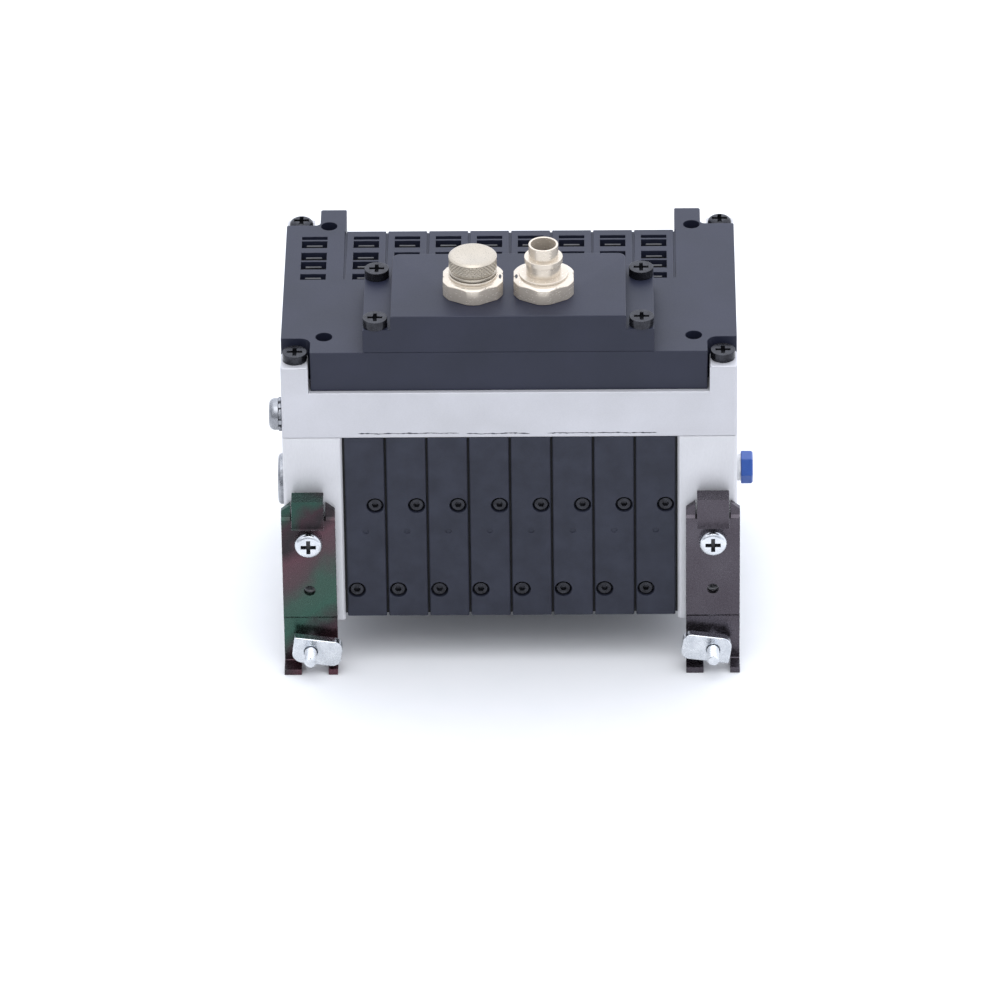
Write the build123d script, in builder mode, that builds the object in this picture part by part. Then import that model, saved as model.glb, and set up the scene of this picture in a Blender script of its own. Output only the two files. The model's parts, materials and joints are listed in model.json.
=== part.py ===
from build123d import *
import os
from math import atan2, cos, sin, tan

# Rail-mounted pneumatic valve island: eight valve slices clamped between two end plates, a cast
# yoke with the pilot solenoids on top, an electronics cover with a connector housing, and two
# sheet-steel brackets that hook on a 35 mm top-hat rail.
# X runs along the rail, Y from the rail into the body, Z up. The origin is the rail seat: the
# front faces of the brackets, half way up the rail, in the middle of the row of slices.

# ---------------------------------------------------------------- driving dimensions, mm
rail_width = 35.0  # top-hat rail, edge to edge
rail_edge = 1.0  # thickness of the rail's edge
sheet = 1.5  # bracket steel
bracket_setback = 0.8  # step from the bracket's middle to its ears and foot
hook_drop = 16.2  # from the top of the valve block down to the rail's upper edge

slice_count = 8
pitch = 10.0
slice_height = 50.4
slice_setback = 2.5  # the slices end this far inside the back of the end plates
gasket_thickness = 0.5
gasket_inset = 1.2  # behind the slices' front and back faces
gasket_edge = 0.2  # inside the slices' top and bottom
end_plate_width = 14.35
end_plate_height = 51.6
end_edge_radius = 1.0
inner_bevel = 0.6

running_gap = 0.05  # radial, between a sliding or turning piece and its bore
thread_gap = 0.05  # radial, between a screw and the hole that it is threaded in
screw_clearance = 0.2  # radial, between a screw and a through hole
seat_gap = 0.3  # between loose neighbours

# slice screws, two in each front face
slice_screw_shank = 2.0
slice_screw_head = 3.2
slice_screw_head_height = 1.6
slice_screw_recess = 4.2
slice_screw_recess_depth = 2.0
slice_screw_length = 6.0
slice_screw_socket = 0.8
upper_screw_inset = 2.6
upper_screw_drop = 19.1
lower_screw_inset = 2.6
lower_screw_drop = 43.0
dent_radius = 0.7
dent_depth = 0.2
dent_drop = 26.3
slice_chamfer = 0.25

# spool and work ports of a slice
spool_depth = 35.0
spool_bore = 5.0
spool_length = 36.0
spool_travel = 2.4
spool_end_gap = 0.4
groove_radius = 1.6
groove_length = 6.0
port_radius = 2.1
port_depth = 9.0
passage_radius = 1.2
port_drops = (14.0, 36.0)

# tie rods through the whole stack
tie_rod_radius = 1.5
tie_head_radius = 2.75
tie_head_height = 2.5
tie_head_recess = 3.0
tie_nut_height = 2.4
tie_places = ((12.0, 9.0), (12.0, 33.0), (54.0, 25.0))  # (behind the front, below the top)

# yoke
yoke_height = 12.5
post_height = 19.5
post_width = 6.6
post_depth = 7.6
yoke_floor = 2.0
yoke_edge_radius = 0.8
yoke_front_radius = 0.4
cavity_front = 6.0
cavity_side = 0.2  # the yoke's cavity ends this far inside the row of slices
cavity_rim = 3.4  # from the cavity's back wall to the back of the cover
solenoid_gap = 1.4
solenoid_depth = 26.0
solenoid_height = 9.0
button_drop = 6.3  # button axis below the yoke's top
button_radius = 2.0
button_recess_radius = 2.9
button_recess = 1.0
button_collar_radius = 2.7
button_collar = 1.2
button_travel = 1.5
button_slot_length = 3.0
button_slot_width = 0.7
button_slot_depth = 0.6

# electronics cover
cover_height = 10.6
cover_setback = 1.2
cover_depth = 58.2
cover_wall = 1.8
cover_roof = 2.0
pocket_gap = 0.5
pocket_radius = 2.4
tab_inner = 40.1
tab_outer = 46.4
tab_depth = 10.6
corner_depth = 3.1
tab_corner_radius = 1.2
tab_tip_radius = 0.6
fixing_hole_radius = 2.0
fixing_hole_x = 44.25
fixing_hole_front = 8.8
fixing_hole_inset = 2.6  # behind the back of the cover, in its tabs
fixing_boss_radius = 3.0
screw_boss_radius = 2.4  # stays inside the cover's front wall
window_width = 6.2
window_inset = 2.5  # from the windows' rear edge to the back of the cover
rear_ledge = 12.1  # the body reaches this far behind the cover
window_slots = (1.45, 3.3, 3.7, 3.7, 2.7)
window_bars = (0.7, 2.3, 0.7, 2.2)
extra_window_x = 47.6
groove_width = 0.5
separator_depth = 0.5
separator_length = 23.0
guide_bar_width = 3.9
guide_bar_depth = 0.6
guide_sheet = 1.0
guide_bar_height = 1.6
guide_overhang = 12.5  # beyond the outermost slices, under the extra column
guide_front_overlap = 1.0
board_thickness = 1.6
board_overhang = 0.9  # beyond the outermost slices, on the yoke's rim

# connector housing and its two round connectors
housing_width = 56.2
housing_depth = 30.1
housing_height = 9.9
housing_wall = 2.0
housing_corner = 2.0
housing_edge_radius = 0.4
flange_margin = 3.0  # beyond the flange screws
flange_depth = 30.8
flange_height = 6.2
flange_screw_gap = 0.75  # between the screw heads and the housing
flange_screw_front = 3.7
flange_screw_back = 27.0
connector_x = 8.45
connector_depth = 13.8
wiring_slot_width = 34.0
wiring_slot_depth = 12.0
nut_across_flats = 14.4
nut_turned_radius = 7.6
nut_height = 4.2
nut_chamfer = 0.9
nut_chamfer_rise = 0.45
nut_turn = 30.0  # degrees, a corner points at the rail
connector_thread = 4.5  # radius
connector_collar_radius = 5.6
connector_collar_height = 1.6
connector_tail_radius = 3.6
connector_tail = 3.0
shoulder_radius = 5.9
shoulder_height = 0.7
neck_radius = 4.15
neck_top = 3.7
flare_radius = 4.6
flare_top = 5.1
tube_radius = 3.55
tube_bore = 3.0
tube_top = 8.4
bore_depth = 8.0
left_neck_top = 2.6
left_flare_top = 3.0
left_tube_top = 4.0
insert_height = 3.0
pin_radius = 0.4
pin_circle = 1.6
pin_height = 2.4
pin_count = 5
cap_radius = 5.8
cap_height = 4.6
cap_roof = 0.9
cap_wall = 1.0
cap_groove = 0.3

# pan-head screws with a cross recess
m3_radius = 1.5
m3_head_radius = 2.95
m3_head_height = 2.2
m3_head_rounding = 1.3
corner_screw_length = 26.0
corner_screw_x = 51.2
corner_screw_front = 4.4
corner_screw_inset = 4.0  # from the back of the body
flange_screw_length = 9.5
cross_width = 0.9
cross_reach = 3.6
cross_depth = 1.2

# earth screw, plugs
earth_depth = 4.6
earth_rise = 4.2
earth_head_radius = 3.85
earth_head_height = 2.3
earth_head_rounding = 1.4
earth_shank_radius = 2.0
earth_length = 1.8
washer_thickness = 0.8
washer_radius = 4.1
plug_depth = 20.0
plug_drop = 23.4
plug_disc_radius = 6.2
plug_disc = 1.9
plug_thread_radius = 4.8
plug_length = 7.0
plug_socket = 5.0
plug_socket_depth = 3.5
plug_chamfer = 0.5
blue_depth = 30.0
blue_drop = 27.0
blue_across_flats = 7.0
blue_head = 2.9
blue_chamfer = 0.35
blue_thread_radius = 2.4
blue_length = 6.5
seal_thickness = 1.4
seal_radius = 3.3
supply_drop = 26.0
supply_radius = 4.3
supply_port_depth = 11.0

# rail brackets
bracket_x = 48.8
bracket_width = 13.0
hook_gap = 1.6
tongue_width = 7.7
tongue_end = 10.9
tongue_bend = 13.4
lip_flare = 1.0
slit = 0.4
bracket_step = 11.9
ear_top = 16.2
ear_cut_width = 4.0
ear_cut_height = 3.2
ear_cut_angle = 38.0  # degrees
joggle_top = -15.4
bend_radius = 0.6
joggle_radius = 0.3
foot_reach = 4.5
foot_bottom = -29.8
wide_foot = 4.2
narrow_foot = 2.3
foot_notch_top = -26.8
bracket_screw_z = 5.7
bracket_screw_radius = 1.75
bracket_screw_head = 3.4
bracket_screw_head_height = 2.3
bracket_screw_rounding = 1.25
bracket_screw_length = 9.0
pin_hole_z = -8.0
pin_hole_radius = 1.4
pin_hole_depth = 5.0

# clamp plates, which swing up behind the rail's lower edge
clamp_z = -23.3
clamp_thickness = 2.5
clamp_gap = 0.1
clamp_reach = 7.6
clamp_back = 4.4
clamp_half_width = 3.5
clamp_long_radius = 2.2
clamp_short_radius = 2.6
clamp_tilt = 8.0
clamp_screw_proud = 5.0
clamp_screw_head_radius = 2.6
clamp_screw_head_height = 1.8
clamp_collar_radius = 2.4

# derived places
front = sheet + bracket_setback  # front plane of the body
body_depth = cover_setback + cover_depth + rear_ledge
slice_depth = body_depth - slice_setback
corner_screw_back = body_depth - corner_screw_inset
window_back = cover_setback + cover_depth - window_inset
fixing_hole_back = cover_setback + cover_depth + fixing_hole_inset
block_top = rail_width / 2 + hook_drop
slice_bottom = block_top - slice_height
slice_back = front + slice_depth
slice_width = pitch - gasket_thickness
stack_half = slice_count * pitch / 2
end_inner = stack_half + gasket_thickness / 2
half_width = end_inner + end_plate_width
end_plate_bottom = block_top - end_plate_height
body_back = front + body_depth
slice_places = [(i + 0.5) * pitch - stack_half for i in range(slice_count)]
flange_screw_x = housing_width / 2 + m3_head_radius + flange_screw_gap
flange_width = 2 * (flange_screw_x + flange_margin)

os.makedirs("parts", exist_ok=True)


def write(node, name):
    """Label a finished piece and write it to its own file."""
    node.part.label = name
    export_step(node.part, f"parts/{name}.step")


def facing(x, y, z, direction):
    """A plane at a point, whose normal points out of the face that a hole starts in."""
    return Plane(origin=(x, y, z), z_dir=direction)


toward_rail = (0, -1, 0)
away_from_rail = (0, 1, 0)

# places worked out from the dimensions
corner_screw_places = [
    (side * corner_screw_x, front + depth)
    for side in (-1, 1)
    for depth in (corner_screw_front, corner_screw_back)
]
tie_yz = [(front + depth, block_top - drop) for depth, drop in tie_places]
tie_hole_radius = tie_rod_radius + screw_clearance
yoke_top = block_top + yoke_height
post_top = block_top + post_height
cover_front = front + cover_setback
cover_back = cover_front + cover_depth
cover_top = yoke_top + cover_height
cavity_half = stack_half - cavity_side
cavity_back = cover_back - cavity_rim
spool_y = front + spool_depth
spool_radius = spool_bore / 2 - running_gap
spool_bore_depth = spool_length + spool_travel + 2 * spool_end_gap
spool_bottom = block_top - spool_bore_depth + spool_end_gap
slice_screw_seat = front + slice_screw_recess_depth
upper_screw_z = block_top - upper_screw_drop
lower_screw_z = block_top - lower_screw_drop


# ---------------------------------------------------------------- valve slices and spools
for number, slice_x in enumerate(slice_places, start=1):
    screw_spots = (
        (slice_x + pitch / 2 - upper_screw_inset, upper_screw_z),
        (slice_x - pitch / 2 + lower_screw_inset, lower_screw_z),
    )
    with BuildPart() as valve_slice:
        with BuildSketch(Plane.XY.offset(slice_bottom)):
            with Locations((slice_x, front + slice_depth / 2)):
                Rectangle(slice_width, slice_depth)
        extrude(amount=slice_height)
        chamfer(valve_slice.edges().filter_by(Axis.Z), slice_chamfer)
        for x, z in screw_spots:
            with Locations(facing(x, front, z, toward_rail)):
                CounterBoreHole(
                    slice_screw_shank / 2 + thread_gap,
                    slice_screw_recess / 2,
                    slice_screw_recess_depth,
                    slice_screw_recess_depth + slice_screw_length,
                )
        with Locations(facing(slice_x, front, block_top - dent_drop, toward_rail)):
            Hole(dent_radius, dent_depth)
        with Locations((slice_x, spool_y, block_top)):
            Hole(spool_bore / 2, spool_bore_depth)
        for drop in port_drops:
            with Locations(facing(slice_x, slice_back, block_top - drop, away_from_rail)):
                CounterBoreHole(passage_radius, port_radius, port_depth, slice_depth - spool_depth)
        for y, z in tie_yz:
            with Locations(facing(slice_x + slice_width / 2, y, z, (1, 0, 0))):
                Hole(tie_hole_radius, slice_width)
    write(valve_slice, f"valve_slice_{number}")

    groove_count = 2
    land = (spool_length - groove_count * groove_length) / (groove_count + 1)
    grooves = [spool_bottom + land + i * (land + groove_length) for i in range(groove_count)]
    with BuildPart() as spool:
        with BuildSketch(Plane.XZ.offset(-spool_y)):
            with Locations((slice_x, spool_bottom)):
                Rectangle(spool_radius, spool_length, align=(Align.MIN, Align.MIN))
            with Locations(*[(slice_x + groove_radius, z) for z in grooves]):
                Rectangle(
                    spool_radius - groove_radius,
                    groove_length,
                    align=(Align.MIN, Align.MIN),
                    mode=Mode.SUBTRACT,
                )
        revolve(axis=Axis((slice_x, spool_y, 0), (0, 0, 1)))
    write(spool, f"spool_{number}")

# Flat gaskets between the slices and against the end plates; they hold the slices a groove apart.
with BuildPart() as slice_gaskets:
    for i in range(slice_count + 1):
        gasket_x = i * pitch - stack_half - gasket_thickness / 2
        with BuildSketch(Plane.YZ.offset(gasket_x)):
            with Locations((front + slice_depth / 2, slice_bottom + slice_height / 2)):
                Rectangle(slice_depth - 2 * gasket_inset, slice_height - 2 * gasket_edge)
            with Locations(*tie_yz):
                Circle(tie_hole_radius, mode=Mode.SUBTRACT)
        extrude(amount=gasket_thickness)
write(slice_gaskets, "slice_gaskets")

# Small socket screws, sunk in the front face of each slice.
with BuildPart() as slice_screws:
    for slice_x in slice_places:
        for x, z in (
            (slice_x + pitch / 2 - upper_screw_inset, upper_screw_z),
            (slice_x - pitch / 2 + lower_screw_inset, lower_screw_z),
        ):
            with BuildSketch(Plane.XZ.offset(-slice_screw_seat)):
                with Locations((x, z)):
                    Circle(slice_screw_head / 2)
            extrude(amount=slice_screw_head_height)
            with BuildSketch(Plane.XZ.offset(-slice_screw_seat)):
                with Locations((x, z)):
                    Circle(slice_screw_shank / 2)
            extrude(amount=-slice_screw_length + seat_gap)
            with BuildSketch(Plane.XZ.offset(-slice_screw_seat + slice_screw_head_height)):
                with Locations((x, z)):
                    RegularPolygon(slice_screw_socket, 6)
            extrude(amount=-slice_screw_socket, mode=Mode.SUBTRACT)
write(slice_screws, "slice_screws")

# Three long screws with nuts hold the stack together; heads and nuts are sunk in the end plates.
tie_head_seat = half_width - tie_head_recess
with BuildPart() as tie_rods:
    for y, z in tie_yz:
        with BuildSketch(Plane.YZ.offset(-tie_head_seat)):
            with Locations((y, z)):
                Circle(tie_rod_radius)
        extrude(amount=2 * tie_head_seat + tie_nut_height)
        with BuildSketch(Plane.YZ.offset(-tie_head_seat)):
            with Locations((y, z)):
                Circle(tie_head_radius)
        extrude(amount=-tie_head_height)
write(tie_rods, "tie_rods")

with BuildPart() as tie_nuts:
    for y, z in tie_yz:
        with BuildSketch(Plane.YZ.offset(tie_head_seat)):
            with Locations((y, z)):
                RegularPolygon(tie_head_radius, 6)
                Circle(tie_rod_radius + thread_gap, mode=Mode.SUBTRACT)
        extrude(amount=tie_nut_height)
write(tie_nuts, "tie_nuts")


# ---------------------------------------------------------------- end plates
for side, name in ((-1, "left_end_plate"), (1, "right_end_plate")):
    plate_x = side * (end_inner + half_width) / 2
    outward = (side, 0, 0)
    with BuildPart() as end_plate:
        with BuildSketch(Plane.XY.offset(end_plate_bottom)):
            with Locations((plate_x, front + body_depth / 2)):
                Rectangle(end_plate_width, body_depth)
        extrude(amount=end_plate_height)
        uprights = end_plate.edges().filter_by(Axis.Z).sort_by(Axis.X)
        outer_edges = uprights[:2] if side < 0 else uprights[2:]
        inner_front = (uprights[2:] if side < 0 else uprights[:2]).sort_by(Axis.Y)[0]
        fillet(outer_edges, end_edge_radius)
        chamfer(inner_front, inner_bevel)
        for x, y in corner_screw_places:
            if x * side > 0:
                with Locations((x, y, block_top)):
                    Hole(m3_radius + thread_gap, corner_screw_length - post_height + seat_gap)
        with Locations(facing(side * bracket_x, front, bracket_screw_z, toward_rail)):
            Hole(bracket_screw_radius + thread_gap, bracket_screw_length)
        with Locations(facing(side * bracket_x, front, pin_hole_z, toward_rail)):
            Hole(pin_hole_radius, pin_hole_depth)
        for y, z in tie_yz:
            with Locations(facing(side * half_width, y, z, outward)):
                CounterBoreHole(
                    tie_hole_radius,
                    tie_head_radius + screw_clearance,
                    tie_head_recess,
                    end_plate_width,
                )
        with Locations(facing(plate_x, body_back, block_top - supply_drop, away_from_rail)):
            Hole(supply_radius, supply_port_depth)
        if side < 0:
            with Locations(facing(-half_width, front + plug_depth, block_top - plug_drop, outward)):
                Hole(plug_thread_radius + thread_gap, plug_length + seat_gap)
        else:
            with Locations(facing(half_width, front + blue_depth, block_top - blue_drop, outward)):
                Hole(blue_thread_radius + thread_gap, blue_length + seat_gap)
    write(end_plate, name)

# Round blanking plug with a hexagon socket in the left end plate.
with BuildPart() as port_plug:
    with BuildSketch(Plane.YZ.offset(-half_width)):
        with Locations((front + plug_depth, block_top - plug_drop)):
            Circle(plug_disc_radius)
    extrude(amount=-plug_disc)
    chamfer(port_plug.edges().filter_by(GeomType.CIRCLE).sort_by(Axis.X)[0], plug_chamfer)
    with BuildSketch(Plane.YZ.offset(-half_width)):
        with Locations((front + plug_depth, block_top - plug_drop)):
            Circle(plug_thread_radius)
    extrude(amount=plug_length)
    with BuildSketch(Plane.YZ.offset(-half_width - plug_disc)):
        with Locations((front + plug_depth, block_top - plug_drop)):
            RegularPolygon(plug_socket / 2, 6, major_radius=False)
    extrude(amount=plug_socket_depth, mode=Mode.SUBTRACT)
write(port_plug, "port_plug")

# White sealing ring and blue hexagon plug in the right end plate.
with BuildPart() as seal_ring:
    with BuildSketch(Plane.YZ.offset(half_width)):
        with Locations((front + blue_depth, block_top - blue_drop)):
            Circle(seal_radius)
            Circle(blue_thread_radius + running_gap, mode=Mode.SUBTRACT)
    extrude(amount=seal_thickness)
write(seal_ring, "seal_ring")

with BuildPart() as blue_plug:
    with BuildSketch(Plane.YZ.offset(half_width + seal_thickness)):
        with Locations((front + blue_depth, block_top - blue_drop)):
            RegularPolygon(blue_across_flats / 2, 6, major_radius=False)
    extrude(amount=blue_head)
    chamfer(blue_plug.faces().sort_by(Axis.X)[-1].edges(), blue_chamfer)
    with BuildSketch(Plane.YZ.offset(half_width + seal_thickness)):
        with Locations((front + blue_depth, block_top - blue_drop)):
            Circle(blue_thread_radius)
    extrude(amount=-seal_thickness - blue_length)
write(blue_plug, "blue_plug")


# ---------------------------------------------------------------- yoke, pilots and overrides
button_z = yoke_top - button_drop
post_y = ((front, front + post_depth), (body_back - post_depth, body_back))
with BuildPart() as yoke:
    with BuildSketch(Plane.XY.offset(block_top)):
        with Locations((0, front + body_depth / 2)):
            Rectangle(2 * half_width, body_depth)
    extrude(amount=yoke_height)
    with BuildSketch(Plane.XY.offset(yoke_top)) as post_outline:
        for side in (-1, 1):
            for low, high in post_y:
                with Locations((side * (half_width - post_width / 2), (low + high) / 2)):
                    Rectangle(post_width, high - low)
        for side in (-1, 1):
            for y in (post_y[0][1], post_y[1][0]):
                inner_corner = post_outline.vertices().sort_by_distance(
                    (side * (half_width - post_width), y, yoke_top)
                )[0]
                fillet(inner_corner, pocket_radius - pocket_gap)
    extrude(amount=post_height - yoke_height)
    fillet(yoke.edges().filter_by(Axis.Z).group_by(Axis.X)[0], yoke_edge_radius)
    fillet(yoke.edges().filter_by(Axis.Z).group_by(Axis.X)[-1], yoke_edge_radius)
    fillet(yoke.faces().sort_by(Axis.Y)[0].edges().filter_by(Axis.X), yoke_front_radius)
    with BuildSketch(Plane.XY.offset(yoke_top)):
        with Locations((0, front + (cavity_front + cavity_back - front) / 2)):
            Rectangle(2 * cavity_half, cavity_back - front - cavity_front)
    extrude(amount=yoke_floor - yoke_height, mode=Mode.SUBTRACT)
    for x, y in corner_screw_places:
        with Locations((x, y, post_top)):
            Hole(m3_radius + screw_clearance, post_height)
    for x in slice_places:
        with Locations(facing(x, body_back, button_z, away_from_rail)):
            CounterBoreHole(
                button_radius + running_gap,
                button_recess_radius,
                button_recess,
                body_back - cavity_back,
            )
    with Locations(facing(-half_width, front + earth_depth, block_top + earth_rise, (-1, 0, 0))):
        Hole(earth_shank_radius + thread_gap, earth_length)
write(yoke, "yoke")

# One pilot solenoid a slice stands in the yoke.
solenoid_width = pitch - solenoid_gap
solenoid_back = cavity_back - button_collar - button_travel - seat_gap
with BuildPart() as pilot_solenoids:
    for x in slice_places:
        with BuildSketch(Plane.XY.offset(block_top + yoke_floor)):
            with Locations((x, solenoid_back - solenoid_depth / 2)):
                Rectangle(solenoid_width, solenoid_depth)
        extrude(amount=solenoid_height)
write(pilot_solenoids, "pilot_solenoids")

# Manual override buttons on the service side, pushed in against their pilots.
for number, x in enumerate(slice_places, start=1):
    with BuildPart() as override_button:
        with BuildSketch(Plane.XZ.offset(-cavity_back)):
            with Locations((x, button_z)):
                Circle(button_collar_radius)
        extrude(amount=button_collar)
        with BuildSketch(Plane.XZ.offset(-cavity_back)):
            with Locations((x, button_z)):
                Circle(button_radius)
        extrude(amount=cavity_back + button_recess - body_back)
        with BuildSketch(Plane.XZ.offset(button_recess - body_back)):
            with Locations((x, button_z)):
                Rectangle(button_slot_length, button_slot_width)
        extrude(amount=button_slot_depth, mode=Mode.SUBTRACT)
    write(override_button, f"override_button_{number}")


# ---------------------------------------------------------------- screws with a pan head
def upright_screw(x, y, z, length):
    """An M3 pan-head screw with a cross recess, its head resting at height z."""
    with BuildPart() as screw:
        with BuildSketch(Plane.XZ.offset(-y)) as half_section:
            with BuildLine():
                Polyline(
                    (x, z + m3_head_height),
                    (x, z - length),
                    (x + m3_radius, z - length),
                    (x + m3_radius, z),
                    (x + m3_head_radius, z),
                    (x + m3_head_radius, z + m3_head_height),
                    close=True,
                )
            make_face()
            head_rim = half_section.vertices().sort_by_distance(
                (x + m3_head_radius, y, z + m3_head_height)
            )[0]
            fillet(head_rim, m3_head_rounding)
        revolve(axis=Axis((x, y, 0), (0, 0, 1)))
        with BuildSketch(Plane.XY.offset(z + m3_head_height)):
            with Locations((x, y)):
                Rectangle(cross_reach, cross_width)
                Rectangle(cross_width, cross_reach)
        extrude(amount=-cross_depth, mode=Mode.SUBTRACT)
    return screw.part


with BuildPart() as corner_screws:
    for x, y in corner_screw_places:
        add(upright_screw(x, y, post_top, corner_screw_length))
write(corner_screws, "corner_screws")


# ---------------------------------------------------------------- electronics cover
window_places = slice_places + [-extra_window_x]
window_starts = []
slot_back = front + window_back
for slot, bar in zip(window_slots, window_bars + (0,)):
    window_starts.append((slot_back - slot / 2, slot))
    slot_back -= slot + bar
flange_screw_places = [
    (side * flange_screw_x, front + depth)
    for side in (-1, 1)
    for depth in (flange_screw_front, flange_screw_back)
]
connector_y = front + connector_depth
inner_pocket = half_width - post_width - pocket_gap
front_pocket = front + post_depth + pocket_gap - cover_front
with BuildPart() as electronics_cover:
    with BuildSketch(Plane.XY.offset(yoke_top)) as cover_outline:
        with Locations((0, cover_front + cover_depth / 2)):
            Rectangle(2 * half_width, cover_depth)
        for side in (-1, 1):
            with Locations((side * (tab_inner + tab_outer) / 2, cover_back + tab_depth / 2)):
                Rectangle(tab_outer - tab_inner, tab_depth)
            with Locations((side * (tab_outer + half_width) / 2, cover_back + corner_depth / 2)):
                Rectangle(half_width - tab_outer, corner_depth)
            with Locations((side * (inner_pocket + half_width) / 2, cover_front + front_pocket / 2)):
                Rectangle(half_width - inner_pocket, front_pocket, mode=Mode.SUBTRACT)
        for side in (-1, 1):
            inner_corner = cover_outline.vertices().sort_by_distance(
                (side * inner_pocket, cover_front + front_pocket, yoke_top)
            )[0]
            fillet(inner_corner, pocket_radius)
            tab_root = cover_outline.vertices().sort_by_distance(
                (side * tab_outer, cover_back + corner_depth, yoke_top)
            )[0]
            fillet(tab_root, tab_corner_radius)
            tab_tip = cover_outline.vertices().sort_by_distance(
                (side * tab_outer, cover_back + tab_depth, yoke_top)
            )[0]
            fillet(tab_tip, tab_tip_radius)
    extrude(amount=cover_height)
    # hollow from below, closed by the roof; the front pockets keep their walls
    with BuildSketch(Plane.XY.offset(yoke_top)):
        with Locations((0, (cover_front + cover_back) / 2)):
            Rectangle(2 * (inner_pocket - cover_wall), cover_depth - 2 * cover_wall)
        pocket_end = cover_front + front_pocket + cover_wall
        with Locations((0, (pocket_end + cover_back - cover_wall) / 2)):
            Rectangle(2 * (half_width - cover_wall), cover_back - cover_wall - pocket_end)
    extrude(amount=cover_height - cover_roof, mode=Mode.SUBTRACT)
    # bosses for the four fixing holes and for the connector housing's screws
    with BuildSketch(Plane.XY.offset(yoke_top)):
        with Locations(*[(side * fixing_hole_x, front + fixing_hole_front) for side in (-1, 1)]):
            Circle(fixing_boss_radius)
    extrude(amount=cover_height - cover_roof)
    with BuildSketch(Plane.XY.offset(cover_top - cover_roof)):
        with Locations(*flange_screw_places):
            Circle(screw_boss_radius)
    extrude(amount=-flange_screw_length + flange_height + cover_roof - seat_gap)
    for side in (-1, 1):
        for depth in (fixing_hole_front, fixing_hole_back):
            with Locations((side * fixing_hole_x, front + depth, cover_top)):
                Hole(fixing_hole_radius, cover_height)
    for x, y in flange_screw_places:
        with Locations((x, y, cover_top)):
            Hole(m3_radius + thread_gap, flange_screw_length - flange_height + seat_gap)
    # rows of indicator windows, with a fine groove between the columns
    with BuildSketch(Plane.XY.offset(cover_top)):
        for x in window_places:
            for y, slot in window_starts:
                with Locations((x, y)):
                    Rectangle(window_width, slot)
        with Locations((0, connector_y)):
            Rectangle(wiring_slot_width, wiring_slot_depth)
    extrude(amount=-cover_roof, mode=Mode.SUBTRACT)
    with BuildSketch(Plane.XY.offset(cover_top)):
        for i in range(slice_count + 1):
            with Locations((i * pitch - stack_half, cover_back - separator_length / 2)):
                Rectangle(groove_width, separator_length)
    extrude(amount=-separator_depth, mode=Mode.SUBTRACT)
write(electronics_cover, "electronics_cover")

# Dark light-guide sheet under the windows, with a raised bar in each of the larger slots.
guide_top = cover_top - cover_roof
guide_half = stack_half + guide_overhang
with BuildPart() as light_guides:
    with BuildSketch(Plane.XY.offset(guide_top)):
        guide_length = cover_back - cover_wall - seat_gap - slot_back + guide_front_overlap
        with Locations((0, cover_back - cover_wall - seat_gap - guide_length / 2)):
            Rectangle(2 * guide_half, guide_length)
    extrude(amount=-guide_sheet)
    with BuildSketch(Plane.XY.offset(guide_top)):
        for x in window_places:
            for y, slot in window_starts[1:]:
                with Locations((x, y)):
                    Rectangle(guide_bar_width, guide_bar_depth)
    extrude(amount=guide_bar_height)
write(light_guides, "light_guides")

# The board lies on the yoke's rim, inside the cover.
board_half = stack_half + board_overhang
board_front = cover_front + cover_wall + seat_gap
board_back = cover_back - cover_wall - seat_gap
with BuildPart() as circuit_board:
    with BuildSketch(Plane.XY.offset(yoke_top)):
        with Locations((0, (board_front + board_back) / 2)):
            Rectangle(2 * board_half, board_back - board_front)
    extrude(amount=board_thickness)
write(circuit_board, "circuit_board")


# ---------------------------------------------------------------- connector housing
flange_top = cover_top + flange_height
housing_top = cover_top + housing_height
with BuildPart() as connector_housing:
    with BuildSketch(Plane.XY.offset(cover_top)):
        with Locations((0, cover_front + flange_depth / 2)):
            Rectangle(flange_width, flange_depth)
    extrude(amount=flange_height)
    with BuildSketch(Plane.XY.offset(cover_top)) as tall_outline:
        with Locations((0, cover_front + housing_depth / 2)):
            Rectangle(housing_width, housing_depth)
        fillet(tall_outline.vertices().group_by(Axis.Y)[-1], housing_corner)
    extrude(amount=housing_height)
    fillet(connector_housing.faces().sort_by(Axis.Z)[-1].edges(), housing_edge_radius)
    with BuildSketch(Plane.XY.offset(cover_top)):
        with Locations((0, cover_front + housing_depth / 2)):
            Rectangle(housing_width - 2 * housing_wall, housing_depth - 2 * housing_wall)
    extrude(amount=housing_height - housing_wall, mode=Mode.SUBTRACT)
    for x, y in flange_screw_places:
        with Locations((x, y, flange_top)):
            Hole(m3_radius + screw_clearance, flange_height)
    for side in (-1, 1):
        with Locations((side * connector_x, connector_y, housing_top)):
            Hole(connector_thread + thread_gap, housing_wall)
write(connector_housing, "connector_housing")

with BuildPart() as housing_screws:
    for x, y in flange_screw_places:
        add(upright_screw(x, y, flange_top, flange_screw_length))
write(housing_screws, "housing_screws")

# Round connectors: a turned body clamped in the housing's roof by a hexagon nut.
nut_top = housing_top + nut_height
roof_under = housing_top - housing_wall
collar_bottom = roof_under - connector_collar_height
tail_bottom = collar_bottom - connector_tail


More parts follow.
